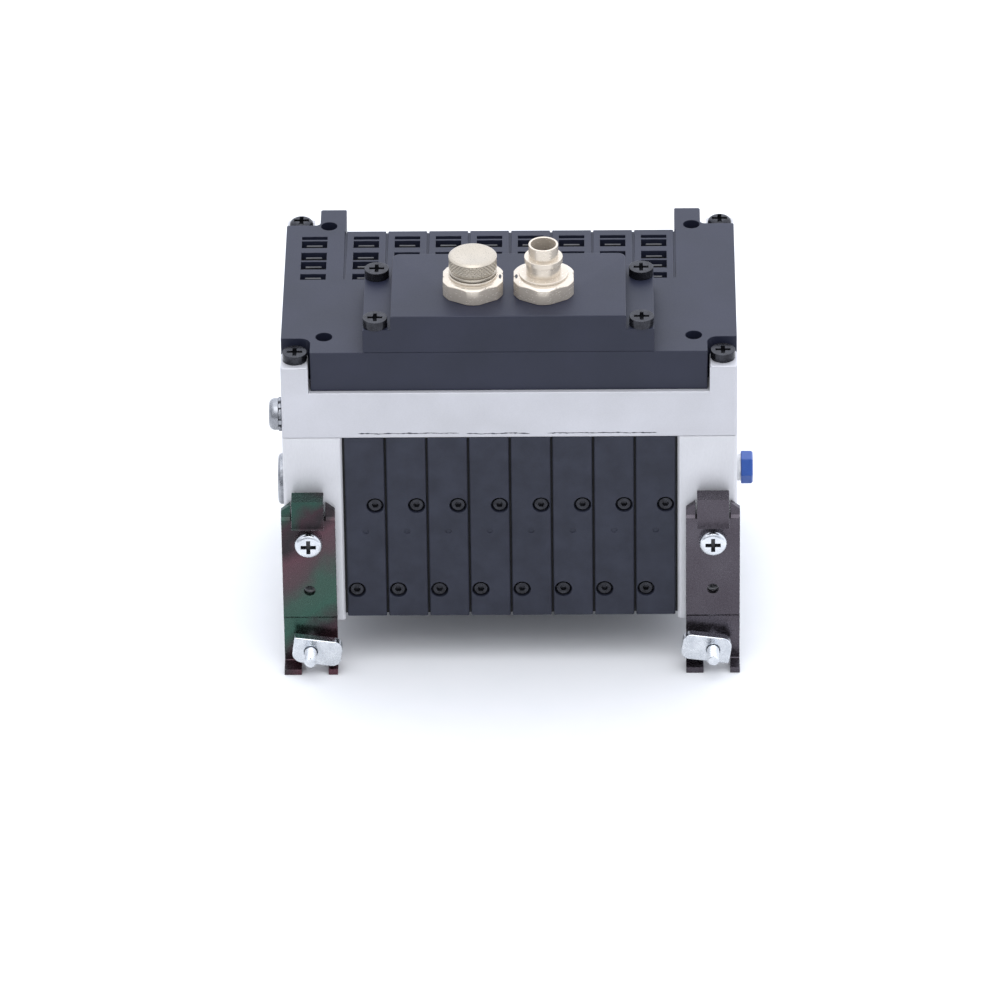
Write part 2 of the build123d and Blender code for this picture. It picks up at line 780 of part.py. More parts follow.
def connector_profile(x, neck, flare, tube):
    """Half section of a connector body, from the axis outwards and back down its bore."""
    bore_floor = nut_top + tube - bore_depth
    return [
        (x, tail_bottom),
        (x + connector_tail_radius, tail_bottom),
        (x + connector_tail_radius, collar_bottom),
        (x + connector_collar_radius, collar_bottom),
        (x + connector_collar_radius, roof_under),
        (x + connector_thread, roof_under),
        (x + connector_thread, nut_top),
        (x + shoulder_radius, nut_top),
        (x + shoulder_radius, nut_top + shoulder_height),
        (x + neck_radius, nut_top + shoulder_height),
        (x + neck_radius, nut_top + neck),
        (x + flare_radius, nut_top + neck),
        (x + flare_radius, nut_top + flare),
        (x + tube_radius, nut_top + flare),
        (x + tube_radius, nut_top + tube),
        (x + tube_bore, nut_top + tube),
        (x + tube_bore, bore_floor),
        (x, bore_floor),
    ]


connector_sizes = {
    "left": (-1, left_neck_top, left_flare_top, left_tube_top),
    "right": (1, neck_top, flare_top, tube_top),
}
for name, (side, neck, flare, tube) in connector_sizes.items():
    axis_x = side * connector_x
    axis = Axis((axis_x, connector_y, 0), (0, 0, 1))
    with BuildPart() as connector_nut:
        with BuildSketch(Plane.XY.offset(housing_top)):
            with Locations((axis_x, connector_y)):
                RegularPolygon(nut_across_flats / 2, 6, major_radius=False, rotation=nut_turn)
                Circle(connector_thread + thread_gap, mode=Mode.SUBTRACT)
        extrude(amount=nut_height)
        # the corners are turned down to a cylinder with a cone at its top
        with BuildSketch(Plane.XZ.offset(-connector_y)):
            with BuildLine():
                Polyline(
                    (axis_x, housing_top),
                    (axis_x + nut_turned_radius, housing_top),
                    (axis_x + nut_turned_radius, nut_top - nut_chamfer_rise),
                    (axis_x + nut_turned_radius - nut_chamfer, nut_top),
                    (axis_x, nut_top),
                    close=True,
                )
            make_face()
        revolve(axis=axis, mode=Mode.INTERSECT)
    write(connector_nut, f"connector_nut_{name}")

    with BuildPart() as connector_body:
        with BuildSketch(Plane.XZ.offset(-connector_y)):
            with BuildLine():
                Polyline(*connector_profile(axis_x, neck, flare, tube), close=True)
            make_face()
        revolve(axis=axis)
    write(connector_body, f"connector_body_{name}")

    insert_floor = nut_top + tube - bore_depth
    with BuildPart() as contact_insert:
        with BuildSketch(Plane.XY.offset(insert_floor)):
            with Locations((axis_x, connector_y)):
                Circle(tube_bore - thread_gap)
        extrude(amount=insert_height)
        with BuildSketch(Plane.XY.offset(insert_floor + insert_height)):
            with Locations((axis_x, connector_y)):
                with PolarLocations(pin_circle, pin_count):
                    Circle(pin_radius)
        extrude(amount=pin_height)
    write(contact_insert, f"contact_insert_{name}")

# Knurled dust cap over the left connector.
cap_bottom = nut_top + shoulder_height + seat_gap
cap_top = cap_bottom + cap_height
cap_x = -connector_x
with BuildPart() as dust_cap:
    with BuildSketch(Plane.XZ.offset(-connector_y)):
        with BuildLine():
            Polyline(
                (cap_x, cap_top),
                (cap_x + cap_radius - cap_groove, cap_top),
                (cap_x + cap_radius, cap_top - cap_groove),
                (cap_x + cap_radius, cap_bottom + 2 * cap_groove),
                (cap_x + cap_radius - cap_groove, cap_bottom + 2 * cap_groove),
                (cap_x + cap_radius - cap_groove, cap_bottom),
                (cap_x + cap_radius - cap_wall, cap_bottom),
                (cap_x + cap_radius - cap_wall, cap_top - cap_roof),
                (cap_x, cap_top - cap_roof),
                close=True,
            )
        make_face()
    revolve(axis=Axis((cap_x, connector_y, 0), (0, 0, 1)))
write(dust_cap, "dust_cap")


# ---------------------------------------------------------------- earth screw on the yoke's side
with BuildPart() as lock_washer:
    with BuildSketch(Plane.YZ.offset(-half_width)):
        with Locations((front + earth_depth, block_top + earth_rise)):
            Circle(washer_radius)
            Circle(earth_shank_radius + screw_clearance, mode=Mode.SUBTRACT)
    extrude(amount=-washer_thickness)
write(lock_washer, "lock_washer")

with BuildPart() as earth_screw:
    with BuildSketch(Plane.YZ.offset(-half_width - washer_thickness)):
        with Locations((front + earth_depth, block_top + earth_rise)):
            Circle(earth_head_radius)
    extrude(amount=-earth_head_height)
    fillet(earth_screw.faces().sort_by(Axis.X)[0].edges(), earth_head_rounding)
    with BuildSketch(Plane.YZ.offset(-half_width - washer_thickness)):
        with Locations((front + earth_depth, block_top + earth_rise)):
            Circle(earth_shank_radius)
    extrude(amount=washer_thickness + earth_length - seat_gap)
    with BuildSketch(Plane.YZ.offset(-half_width - washer_thickness - earth_head_height)):
        with Locations((front + earth_depth, block_top + earth_rise)):
            Rectangle(cross_reach, cross_width)
            Rectangle(cross_width, cross_reach)
    extrude(amount=cross_depth, mode=Mode.SUBTRACT)
write(earth_screw, "earth_screw")


# ---------------------------------------------------------------- rail brackets
hook_seat = rail_width / 2
lower_front = bracket_setback
clamp_front = -rail_edge - clamp_gap - clamp_thickness
clamp_rear = -rail_edge - clamp_gap
foot_top = foot_bottom + sheet
flare = atan2(lip_flare, tongue_bend - tongue_end)
for side, name in ((-1, "left"), (1, "right")):
    middle = side * bracket_x
    left_edge = middle - bracket_width / 2
    with BuildPart() as rail_bracket:
        # strap: ears set back on the end plate, the middle sprung forward, the foot set back again
        with BuildSketch(Plane.YZ.offset(left_edge)):
            with BuildLine() as strap_front:
                FilletPolyline(
                    (bracket_setback, ear_top),
                    (bracket_setback, bracket_step + bracket_setback),
                    (0, bracket_step),
                    (0, joggle_top),
                    (lower_front, joggle_top - bracket_setback),
                    (lower_front, foot_top),
                    (lower_front - foot_reach, foot_top),
                    radius=joggle_radius,
                )
                offset(amount=sheet, side=Side.LEFT)
            make_face()
        extrude(amount=bracket_width)
        # the opening that the tongue is cut from, between the two ears
        with BuildSketch(Plane.XZ.offset(-front)):
            with Locations((middle, bracket_step)):
                Rectangle(
                    tongue_width + 2 * slit, ear_top, align=(Align.CENTER, Align.MIN)
                )
            for ear in (-1, 1):
                with Locations((middle + ear * bracket_width / 2, ear_top)):
                    Rectangle(ear_cut_width, ear_cut_height, rotation=-ear * ear_cut_angle)
        extrude(amount=front, mode=Mode.SUBTRACT)
        # tongue: up the rail's edge, over it and down again, with its end flared out
        with BuildSketch(Plane.YZ.offset(middle - tongue_width / 2)) as tongue_sketch:
            with BuildLine():
                Polyline(
                    (0, bracket_step - sheet),
                    (0, hook_seat),
                    (-hook_gap, hook_seat),
                    (-hook_gap, tongue_bend),
                    (-hook_gap - lip_flare, tongue_end),
                    (-hook_gap - lip_flare - sheet * cos(flare), tongue_end + sheet * sin(flare)),
                    (-hook_gap - sheet, tongue_bend + sheet * tan(flare / 2)),
                    (-hook_gap - sheet, hook_seat + sheet),
                    (sheet, hook_seat + sheet),
                    (sheet, bracket_step - sheet),
                    close=True,
                )
            make_face()
            for y, radius in (
                (0, bend_radius),
                (-hook_gap, bend_radius),
                (sheet, bend_radius + sheet),
                (-hook_gap - sheet, bend_radius + sheet),
            ):
                height = hook_seat if radius == bend_radius else hook_seat + sheet
                corner = tongue_sketch.vertices().sort_by_distance(
                    (middle - tongue_width / 2, y, height)
                )[0]
                fillet(corner, radius)
        extrude(amount=tongue_width)
        # the two feet, with the notch between them
        notch_left = left_edge + wide_foot
        notch_width = bracket_width - wide_foot - narrow_foot
        with BuildSketch(Plane.XZ.offset(-front - bracket_setback)):
            with Locations((notch_left, foot_bottom)):
                Rectangle(
                    notch_width, foot_notch_top - foot_bottom, align=(Align.MIN, Align.MIN)
                )
        extrude(amount=front + bracket_setback + foot_reach, mode=Mode.SUBTRACT)
        with Locations(facing(middle, 0, bracket_screw_z, toward_rail)):
            Hole(bracket_screw_radius + screw_clearance, sheet)
        with Locations(facing(middle, 0, pin_hole_z, toward_rail)):
            Hole(pin_hole_radius, sheet)
        with Locations(facing(middle, lower_front, clamp_z, toward_rail)):
            Hole(m3_radius + screw_clearance, sheet)
    write(rail_bracket, f"rail_bracket_{name}")

    # The plate's long end lies along the rail here and swings up behind the rail's lower edge.
    with BuildPart() as clamp_plate:
        clamp_plane = Plane(
            origin=(middle, clamp_rear, clamp_z),
            x_dir=Vector(-side, 0, 0).rotate(Axis.Y, clamp_tilt),
            z_dir=toward_rail,
        )
        with BuildSketch(clamp_plane) as clamp_outline:
            with Locations(((clamp_reach - clamp_back) / 2, 0)):
                Rectangle(clamp_reach + clamp_back, 2 * clamp_half_width)
            fillet(clamp_outline.vertices().sort_by(Axis.X)[-2:], clamp_long_radius)
            fillet(clamp_outline.vertices().sort_by(Axis.X)[0], clamp_short_radius)
            Circle(m3_radius + running_gap, mode=Mode.SUBTRACT)
        extrude(amount=clamp_thickness)
    write(clamp_plate, f"clamp_plate_{name}")

# Screws that hold the brackets to the end plates.
with BuildPart() as bracket_screws:
    for side in (-1, 1):
        head_plane = facing(side * bracket_x, 0, bracket_screw_z, toward_rail)
        with BuildSketch(head_plane):
            Circle(bracket_screw_head)
        extrude(amount=bracket_screw_head_height)
        with BuildSketch(head_plane):
            Circle(bracket_screw_radius)
        extrude(amount=-bracket_screw_length)
        with BuildSketch(head_plane.offset(bracket_screw_head_height)):
            Rectangle(cross_reach, cross_width)
            Rectangle(cross_width, cross_reach)
        extrude(amount=-cross_depth, mode=Mode.SUBTRACT)
    tops = bracket_screws.edges().filter_by(GeomType.CIRCLE).group_by(Axis.Y)[0]
    fillet(tops, bracket_screw_rounding)
write(bracket_screws, "bracket_screws")

# Clamp screws: head behind the foot, a collar that spaces the clamp plate, and a long free end.
with BuildPart() as clamp_screws:
    for side in (-1, 1):
        strap_back = facing(side * bracket_x, lower_front + sheet, clamp_z, toward_rail)
        with BuildSketch(strap_back):
            Circle(clamp_screw_head_radius)
        extrude(amount=-clamp_screw_head_height)
        with BuildSketch(strap_back):
            Circle(m3_radius)
        extrude(amount=lower_front + sheet - clamp_front + clamp_screw_proud)
        collar = facing(side * bracket_x, lower_front, clamp_z, toward_rail)
        with BuildSketch(collar):
            Circle(clamp_collar_radius)
        extrude(amount=lower_front - clamp_rear - running_gap)
write(clamp_screws, "clamp_screws")
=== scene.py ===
import json
import math

import bmesh
import bpy
import numpy as np
from mathutils import Matrix, Vector

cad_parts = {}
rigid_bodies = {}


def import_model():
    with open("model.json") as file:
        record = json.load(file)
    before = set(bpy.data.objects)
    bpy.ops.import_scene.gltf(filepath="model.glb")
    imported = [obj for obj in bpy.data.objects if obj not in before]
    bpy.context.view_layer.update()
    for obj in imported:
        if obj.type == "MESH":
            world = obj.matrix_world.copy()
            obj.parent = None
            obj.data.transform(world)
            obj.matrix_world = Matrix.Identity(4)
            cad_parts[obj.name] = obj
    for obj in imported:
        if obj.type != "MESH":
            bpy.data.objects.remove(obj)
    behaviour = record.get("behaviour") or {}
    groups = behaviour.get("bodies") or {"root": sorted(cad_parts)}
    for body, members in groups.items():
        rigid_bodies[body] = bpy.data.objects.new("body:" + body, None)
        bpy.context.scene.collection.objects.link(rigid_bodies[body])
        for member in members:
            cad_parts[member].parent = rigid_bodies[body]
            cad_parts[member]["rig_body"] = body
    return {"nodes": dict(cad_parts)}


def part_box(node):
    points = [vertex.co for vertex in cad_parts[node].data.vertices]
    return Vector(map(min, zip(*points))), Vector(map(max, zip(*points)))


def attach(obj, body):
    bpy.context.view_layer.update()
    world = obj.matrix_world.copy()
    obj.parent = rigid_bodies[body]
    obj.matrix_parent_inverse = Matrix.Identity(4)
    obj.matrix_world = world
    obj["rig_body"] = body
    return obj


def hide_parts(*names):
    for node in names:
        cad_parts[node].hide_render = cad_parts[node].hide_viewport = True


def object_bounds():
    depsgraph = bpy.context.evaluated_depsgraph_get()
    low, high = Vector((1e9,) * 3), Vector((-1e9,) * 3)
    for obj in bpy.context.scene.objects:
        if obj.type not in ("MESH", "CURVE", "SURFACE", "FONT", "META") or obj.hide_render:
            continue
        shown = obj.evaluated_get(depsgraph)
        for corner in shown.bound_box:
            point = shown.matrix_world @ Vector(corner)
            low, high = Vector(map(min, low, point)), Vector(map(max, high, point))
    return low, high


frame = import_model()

# Looks of a rail-mounted pneumatic valve island: eight moulded valve slices between two aluminium
# end plates, a cast yoke, a dark plastic cover with two round metal connectors, and two folded
# steel brackets. Lengths in the tables below are millimetres, and MM turns them to metres.
cad_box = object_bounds()
scene = bpy.context.scene
nodes = frame["nodes"]
MM = 0.001
MERGE_DISTANCE = 1e-6
SHARP_EDGE = math.radians(32)  # edges that turn more stay sharp or are rounded
FLAT_FACE = math.radians(0.6)  # neighbours that turn less join to one face
LONG_EDGE = 6.5 * MM
SIDES = ((-1, "left"), (1, "right"))

# places of the screws, bores and windows along the rail (X), into the body (Y) and up (Z)
SLICES = 8
PITCH = 10
SLICE_SCREW_OFFSET = 2.4
CONNECTOR_X = 8.45
HOUSING_SCREW_X = 31.8
FIXING_HOLE_X = 44.25
SUPPLY_PORT_X = 47.425
EXTRA_WINDOW_X = 47.6
BRACKET_X = 48.8
CORNER_SCREW_X = 51.2
HOUSING_SCREWS_Y = [6.0, 29.3]
EARTH_SCREW_Y = 6.9
FRONT_TIE_RODS_Y = 14.3
PORT_PLUG_Y = 22.3
BLUE_PLUG_Y = 32.3
REAR_TIE_ROD_Y = 56.3
BRACKET_SCREW_Z = 5.7
CLAMP_SCREW_Z = -23.3
columns_x = [PITCH * (n - (SLICES - 1) / 2) for n in range(SLICES)]

# planes through those places, where the finished copies of the nodes get a seam
CUTS = {
    "electronics_cover": [-EXTRA_WINDOW_X, -FIXING_HOLE_X, *columns_x, FIXING_HOLE_X],
    "connector_housing": [-HOUSING_SCREW_X, -CONNECTOR_X, CONNECTOR_X, HOUSING_SCREW_X],
    "yoke": [-CORNER_SCREW_X, *columns_x, 0, CORNER_SCREW_X],
}
for side, name in SIDES:
    CUTS[f"{name}_end_plate"] = [side * x for x in (CORNER_SCREW_X, BRACKET_X, SUPPLY_PORT_X)]
    CUTS[f"rail_bracket_{name}"] = [side * BRACKET_X]
    CUTS[f"clamp_plate_{name}"] = [side * BRACKET_X]
for number, x in enumerate(columns_x, start=1):
    CUTS[f"valve_slice_{number}"] = [x - SLICE_SCREW_OFFSET, x, x + SLICE_SCREW_OFFSET]
DEPTH_CUTS = {
    "electronics_cover": HOUSING_SCREWS_Y,
    "yoke": [EARTH_SCREW_Y],
    "left_end_plate": [FRONT_TIE_RODS_Y, PORT_PLUG_Y, REAR_TIE_ROD_Y],
    "right_end_plate": [FRONT_TIE_RODS_Y, BLUE_PLUG_Y, REAR_TIE_ROD_Y],
}


# ------------------------------------------------------------------------------------ materials
def linear(code):
    """sRGB hex to linear colour: v / 12.92 up to 0.04045, else ((v + 0.055) / 1.055) ** 2.4."""
    values = [int(code[i : i + 2], 16) / 255 for i in (1, 3, 5)]
    return [v / 12.92 if v <= 0.04045 else ((v + 0.055) / 1.055) ** 2.4 for v in values] + [1.0]


def add_node(tree, kind, settings=None, inputs=None):
    """Adds a shader node; an input is a number, a colour, or the socket that feeds it."""
    node = tree.nodes.new(kind)
    for name, value in (settings or {}).items():
        setattr(node, name, value)
    for name, value in (inputs or {}).items():
        if isinstance(value, bpy.types.NodeSocket):
            tree.links.new(value, node.inputs[name])
        else:
            node.inputs[name].default_value = value
    return node


def finish(name, shades, grain, roughness, relief=0.0, broad=14.0, stretch=(1, 1, 1), **constants):
    """A material whose colour drifts between two shades over broad patches, and whose gloss and
    fine relief follow a grain: share of the second shade = patches + 0.6 grain, spread from 0.55
    to 1.05 over 0 to 1. Grain, relief and broad are millimetres, and stretch below 1 draws the
    grain out along that axis. Constants are settings of the shader's own sockets."""
    material = bpy.data.materials.new(name)
    material.use_nodes = True
    tree = material.node_tree
    shader = tree.nodes["Principled BSDF"]
    for socket, value in constants.items():
        shader.inputs[socket.replace("_", " ")].default_value = value
    place = add_node(tree, "ShaderNodeTexCoord").outputs["Object"]
    spread = add_node(tree, "ShaderNodeMapping", inputs={"Vector": place, "Scale": stretch})
    patches = add_node(
        tree,
        "ShaderNodeTexNoise",
        inputs={"Vector": place, "Scale": 1 / (broad * MM), "Detail": 3.0},
    )
    grains = add_node(
        tree,
        "ShaderNodeTexNoise",
        inputs={"Vector": spread.outputs[0], "Scale": 1 / (grain * MM), "Detail": 2.0},
    )
    drift = add_node(
        tree,
        "ShaderNodeMath",
        {"operation": "MULTIPLY_ADD"},
        {0: grains.outputs[0], 1: 0.6, 2: patches.outputs[0]},
    )
    share = add_node(
        tree,
        "ShaderNodeMapRange",
        inputs={"Value": drift.outputs[0], "From Min": 0.55, "From Max": 1.05},
    )
    colour = add_node(
        tree,
        "ShaderNodeMix",
        {"data_type": "RGBA"},
        {0: share.outputs[0], 6: linear(shades[0]), 7: linear(shades[1])},
    )
    gloss = add_node(
        tree,
        "ShaderNodeMapRange",
        inputs={
            "Value": grains.outputs[0],
            "From Min": 0.3,
            "From Max": 0.7,
            "To Min": roughness[0],
            "To Max": roughness[1],
        },
    )
    tree.links.new(colour.outputs[2], shader.inputs["Base Color"])
    tree.links.new(gloss.outputs[0], shader.inputs["Roughness"])
    if relief:
        bump = add_node(
            tree,
            "ShaderNodeBump",
            inputs={"Strength": 1.0, "Distance": relief * MM, "Height": grains.outputs[0]},
        )
        tree.links.new(bump.outputs[0], shader.inputs["Normal"])
    return material


def chromate_finish():
    """Black chromate over zinc: a thin film whose thickness wanders, so that it shines green, then
    maroon, then brown-black. Thickness = z - slope x + wander noise, spread over the film's range.
    The left bracket's film is thicker and more coloured than the right's."""
    patch, slope, wander_height = 11.0 * MM, 0.9, 16.0 * MM
    film_low, film_high = 22.0 * MM, 72.0 * MM
    left_share, right_share, blend = 0.9, 0.2, 10.0 * MM
    material = finish(
        "steel_black_chromate", ("#42444a", "#55575d"), 0.5, (0.2, 0.36), 0.003, Metallic=0.85
    )
    tree = material.node_tree
    shader = tree.nodes["Principled BSDF"]
    place = add_node(tree, "ShaderNodeTexCoord").outputs["Object"]
    film = add_node(
        tree,
        "ShaderNodeTexNoise",
        inputs={"Vector": place, "Scale": 1 / patch, "Detail": 3.0, "Distortion": 0.4},
    )
    axes = add_node(tree, "ShaderNodeSeparateXYZ", inputs={"Vector": place})
    level = add_node(
        tree,
        "ShaderNodeMath",
        {"operation": "MULTIPLY_ADD"},
        {0: axes.outputs["X"], 1: -slope, 2: axes.outputs["Z"]},
    )
    wander = add_node(
        tree,
        "ShaderNodeMath",
        {"operation": "MULTIPLY_ADD"},
        {0: film.outputs[0], 1: wander_height, 2: level.outputs[0]},
    )
    thickness = add_node(
        tree,
        "ShaderNodeMapRange",
        inputs={"Value": wander.outputs[0], "From Min": film_low, "From Max": film_high},
    )
    bands = add_node(tree, "ShaderNodeValToRGB", inputs={0: thickness.outputs[0]})
    stops = bands.color_ramp.elements
    stops[0].position = 0.04
    stops[0].color = linear("#5e3c44")
    stops[1].position = 0.98
    stops[1].color = linear("#2a483e")
    film_shades = (
        (0.14, "#413538"), (0.26, "#38594c"), (0.44, "#3c554a"), (0.56, "#4c4344"),
        (0.68, "#5a3e45"), (0.78, "#2c2628"), (0.86, "#3a2a2f"),
    )
    for position, shade in film_shades:
        stops.new(position).color = linear(shade)
    plain = shader.inputs["Base Color"].links[0].from_socket
    side = add_node(
        tree,
        "ShaderNodeMapRange",
        inputs={
            "Value": axes.outputs["X"],
            "From Min": -blend,
            "From Max": blend,
            "To Min": left_share,
            "To Max": right_share,
        },
    )
    mixed = add_node(
        tree,
        "ShaderNodeMix",
        {"data_type": "RGBA"},
        {0: side.outputs[0], 6: plain, 7: bands.outputs[0]},
    )
    tree.links.new(mixed.outputs[2], shader.inputs["Base Color"])
    return material


# Each finish is named for the material and its process; the comment says what that gives the eye.
# The numbers are the grain, the roughness's range and the relief. A grain much finer than 0.2 mm
# wouldn't show, so the finest are drawn coarser than they are, as the comments say.
finishes = {
    # die-cast aluminium, blasted: a soft, slightly blue grey with a faint grain; the pits of about
    # 0.1 mm are drawn at 0.3 mm
    "cast_aluminium": finish(
        "aluminium_die_cast_blasted", ("#bababd", "#c5c5c9"), 0.3, (0.42, 0.56), 0.012,
        Metallic=0.3,
    ),
    # milled plate, matt anodised: paler and smoother than the casting; the cutter's lines of about
    # 0.1 mm are drawn at 0.22 mm
    "plate_aluminium": finish(
        "aluminium_plate_anodised", ("#c5c5c7", "#d0d0d2"), 0.22, (0.38, 0.5), 0.006,
        stretch=(1, 1, 0.25), Metallic=0.3,
    ),
    # glass-filled nylon from a spark-eroded mould: blue-black, with an even matt grain; craters of
    # about 0.05 mm are drawn at 0.18 mm
    "cover_plastic": finish(
        "nylon_spark_textured_mould", ("#1b1f2e", "#222536"), 0.18, (0.42, 0.54), 0.01,
        Specular_IOR_Level=0.36,
    ),
    # reinforced nylon slices: near black with a paler mottle where the fibres come up, drawn at
    # 0.35 mm because single fibres are a hundredth of a millimetre thick
    "slice_plastic": finish(
        "nylon_glass_filled_mould", ("#1e212d", "#2a2d3a"), 0.35, (0.5, 0.64), 0.014,
        broad=5.0, Specular_IOR_Level=0.35,
    ),
    # tinted polycarbonate sheet under the windows: deep black with a smooth surface
    "guide_plastic": finish(
        "polycarbonate_tinted_sheet", ("#1a1a1c", "#3a3a3c"), 0.25, (0.3, 0.5), 0.004, broad=2.0
    ),
    # solder mask over glass cloth: smooth deep green
    "board_laminate": finish("laminate_solder_mask", ("#14402a", "#1a4c33"), 0.2, (0.3, 0.45)),
    # nitrile rubber, die cut: dead black
    "gasket_rubber": finish("nitrile_rubber_cut", ("#0e0e0f", "#161617"), 0.3, (0.6, 0.8), 0.01),
    # cold-headed steel, black oxide and oil: a glossy charcoal that darkens in the recesses
    "black_screw_steel": finish(
        "steel_black_oxide_headed", ("#212125", "#37383d"), 0.3, (0.18, 0.34), 0.006,
        broad=1.5, Metallic=0.7,
    ),
    # bright zinc plate: blue-white, softly mottled
    "zinc_steel": finish(
        "steel_zinc_plated_bright", ("#c6cacf", "#e4e7ea"), 0.5, (0.16, 0.32), 0.006,
        broad=3.0, Metallic=1.0,
    ),
    # turned steel plug, plated: grey and glossy, slightly clouded
    "plug_steel": finish(
        "steel_turned_plated", ("#84868a", "#a2a4a8"), 0.25, (0.22, 0.36), 0.004,
        broad=3.0, Metallic=1.0,
    ),
    # natural acetal ring: milky grey-white, soft gloss
    "seal_plastic": finish("acetal_natural_turned", ("#c6c7c8", "#d8d8d7"), 0.4, (0.35, 0.5)),
    # moulded blue plug: saturated blue with a soft gloss
    "blue_plastic": finish("acetal_blue_mould", ("#18428a", "#2452a2"), 0.3, (0.28, 0.4), 0.006),
    # moulded coil housings: plain charcoal
    "solenoid_plastic": finish("nylon_coil_mould", ("#1c1d20", "#26272a"), 0.3, (0.45, 0.6), 0.01),
    # nickel-plated brass, turned: warm silver with lines round the axis; the tool's marks of about
    # 0.05 mm are drawn at 0.2 mm
    "nickel_brass": finish(
        "brass_nickel_plated_turned", ("#cfc5b6", "#dcd1c1"), 0.2, (0.2, 0.28), 0.0,
        broad=6.0, stretch=(0.25, 0.25, 1), Metallic=0.5,
    ),
    # phenolic contact carrier: brown-black and matt
    "insert_plastic": finish("phenolic_brown_mould", ("#2a1c14", "#3c2a1e"), 0.3, (0.4, 0.6), 0.01),
    # thin coloured film on the folded brackets: dark metal with green and maroon clouds
    "chromated_steel": chromate_finish(),
    # hard-anodised spools: mid grey with a metal's gloss
    "spool_aluminium": finish(
        "aluminium_hard_anodised", ("#7c8086", "#94989e"), 0.2, (0.25, 0.4), Metallic=0.9
    ),
    # moulded override buttons: pale grey, soft gloss
    "button_plastic": finish("acetal_grey_mould", ("#8d9196", "#a3a7ab"), 0.3, (0.35, 0.5), 0.006),
}
# painted highlight: a bright, uneven steel colour for the light that the brackets' cut edges catch
tongue_edge_highlight = finish(
    "steel_edge_painted_highlight", ("#9a9c9e", "#d5d6d8"), 0.2, (0.2, 0.35), 0.006, broad=1.5, Metallic=1.0
)
# the dust cap's nickel is duller, with handling marks
cap_nickel = finish(
    "brass_nickel_plated_satin", ("#afa799", "#bab1a2"), 0.2, (0.26, 0.36), 0.0,
    broad=4.0, Metallic=0.55,
)
# chipped lacquer and flash along the yoke's lower edge: dark, broken and matt
chipped_edge = finish(
    "aluminium_chipped_flash", ("#17181c", "#4a4c54"), 0.3, (0.5, 0.7), 0.01, broad=1.0
)


# --------------------------------------------------------------------------------- making pieces
def settle(piece, body, slot, material, *replaced):
    """Puts a finished piece on its body, with its finish, in place of the nodes it stands for."""
    piece.data.materials.clear()
    piece.data.materials.append(material)
    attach(piece, body)
    if replaced:
        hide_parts(*replaced)
    return piece


def rounded(node, slot, width, segments=2, fine=1.0):
    """A copy of a CAD node with its triangles joined to whole faces, smooth curves, and its
    outward edges rounded by the given width. The planes x = CUTS[node] and y = DEPTH_CUTS[node]
    pass through its holes, so that no whole face has a hole in it; edges under LONG_EDGE take the
    share fine of the width."""
    mesh = nodes[node].data.copy()
    mesh.name = f"{node}_mesh"
    for attribute in [a for a in mesh.attributes if a.name == "custom_normal"]:
        mesh.attributes.remove(attribute)
    work = bmesh.new()
    work.from_mesh(mesh)
    bmesh.ops.remove_doubles(work, verts=work.verts, dist=MERGE_DISTANCE)
    planes = [((1, 0, 0), x) for x in CUTS.get(node, ())]
    planes += [((0, 1, 0), y) for y in DEPTH_CUTS.get(node, ())]
    for normal, place in planes:
        cut = bmesh.ops.bisect_plane(
            work,
            geom=work.verts[:] + work.edges[:] + work.faces[:],
            plane_co=Vector(normal) * place * MM,
            plane_no=normal,
            dist=1e-7,
        )
        for edge in cut["geom_cut"]:
            if isinstance(edge, bmesh.types.BMEdge):
                edge.seam = True
    bmesh.ops.dissolve_limit(
        work, angle_limit=FLAT_FACE, verts=work.verts, edges=work.edges, delimit={"SEAM"}
    )
    weight = work.edges.layers.float.new("bevel_weight_edge")
    for edge in work.edges:
        if len(edge.link_faces) == 2 and edge.is_convex and edge.calc_face_angle() > SHARP_EDGE:
            edge[weight] = 1.0 if edge.calc_length() > LONG_EDGE else fine
    work.to_mesh(mesh)
    work.free()
    mesh.shade_smooth()
    mesh.set_sharp_from_angle(angle=SHARP_EDGE)
    piece = bpy.data.objects.new(f"{node}_finished", mesh)
    scene.collection.objects.link(piece)
    bevel = piece.modifiers.new("edge_rounding", "BEVEL")
    bevel.width = width * MM
    bevel.segments = segments
    bevel.limit_method = "WEIGHT"
    bevel.use_clamp_overlap = False
    bevel.harden_normals = True
    return settle(piece, nodes[node]["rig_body"], slot, finishes[slot], node)


def closed_grid(name, points):
    """A closed surface through a grid of points: the columns join round, and the first and last
    rows meet in a pole or in each other."""
    rows, columns = points.shape[:2]
    index = np.arange(rows * columns).reshape(rows, columns)
    beside = np.roll(index, -1, axis=1)
    faces = np.stack([index[:-1], beside[:-1], beside[1:], index[1:]], axis=-1).reshape(-1, 4)
    mesh = bpy.data.meshes.new(f"{name}_mesh")
    mesh.from_pydata(points.reshape(-1, 3).tolist(), [], faces.tolist())
    work = bmesh.new()
    work.from_mesh(mesh)
    bmesh.ops.remove_doubles(work, verts=work.verts, dist=MERGE_DISTANCE)
    bmesh.ops.recalc_face_normals(work, faces=work.faces)
    work.to_mesh(mesh)
    work.free()
    mesh.shade_smooth()
    mesh.set_sharp_from_angle(angle=SHARP_EDGE)
    piece = bpy.data.objects.new(name, mesh)
    scene.collection.objects.link(piece)
    return piece


def along(profile, step):
    """A profile with more points: each run between two corners is divided into steps of at most
    the given length, by linear interpolation over the distance along it."""
    corners = np.array(profile, float)
    runs = np.linalg.norm(np.diff(corners, axis=0), axis=1)
    travelled = np.concatenate([[0.0], np.cumsum(runs)])
    stations = np.concatenate(
        [np.linspace(a, b, max(1, math.ceil((b - a) / step)), endpoint=False)
         for a, b in zip(travelled[:-1], travelled[1:])]
        + [travelled[-1:]]
    )
    return np.stack([np.interp(stations, travelled, corners[:, i]) for i in (0, 1)], axis=1)


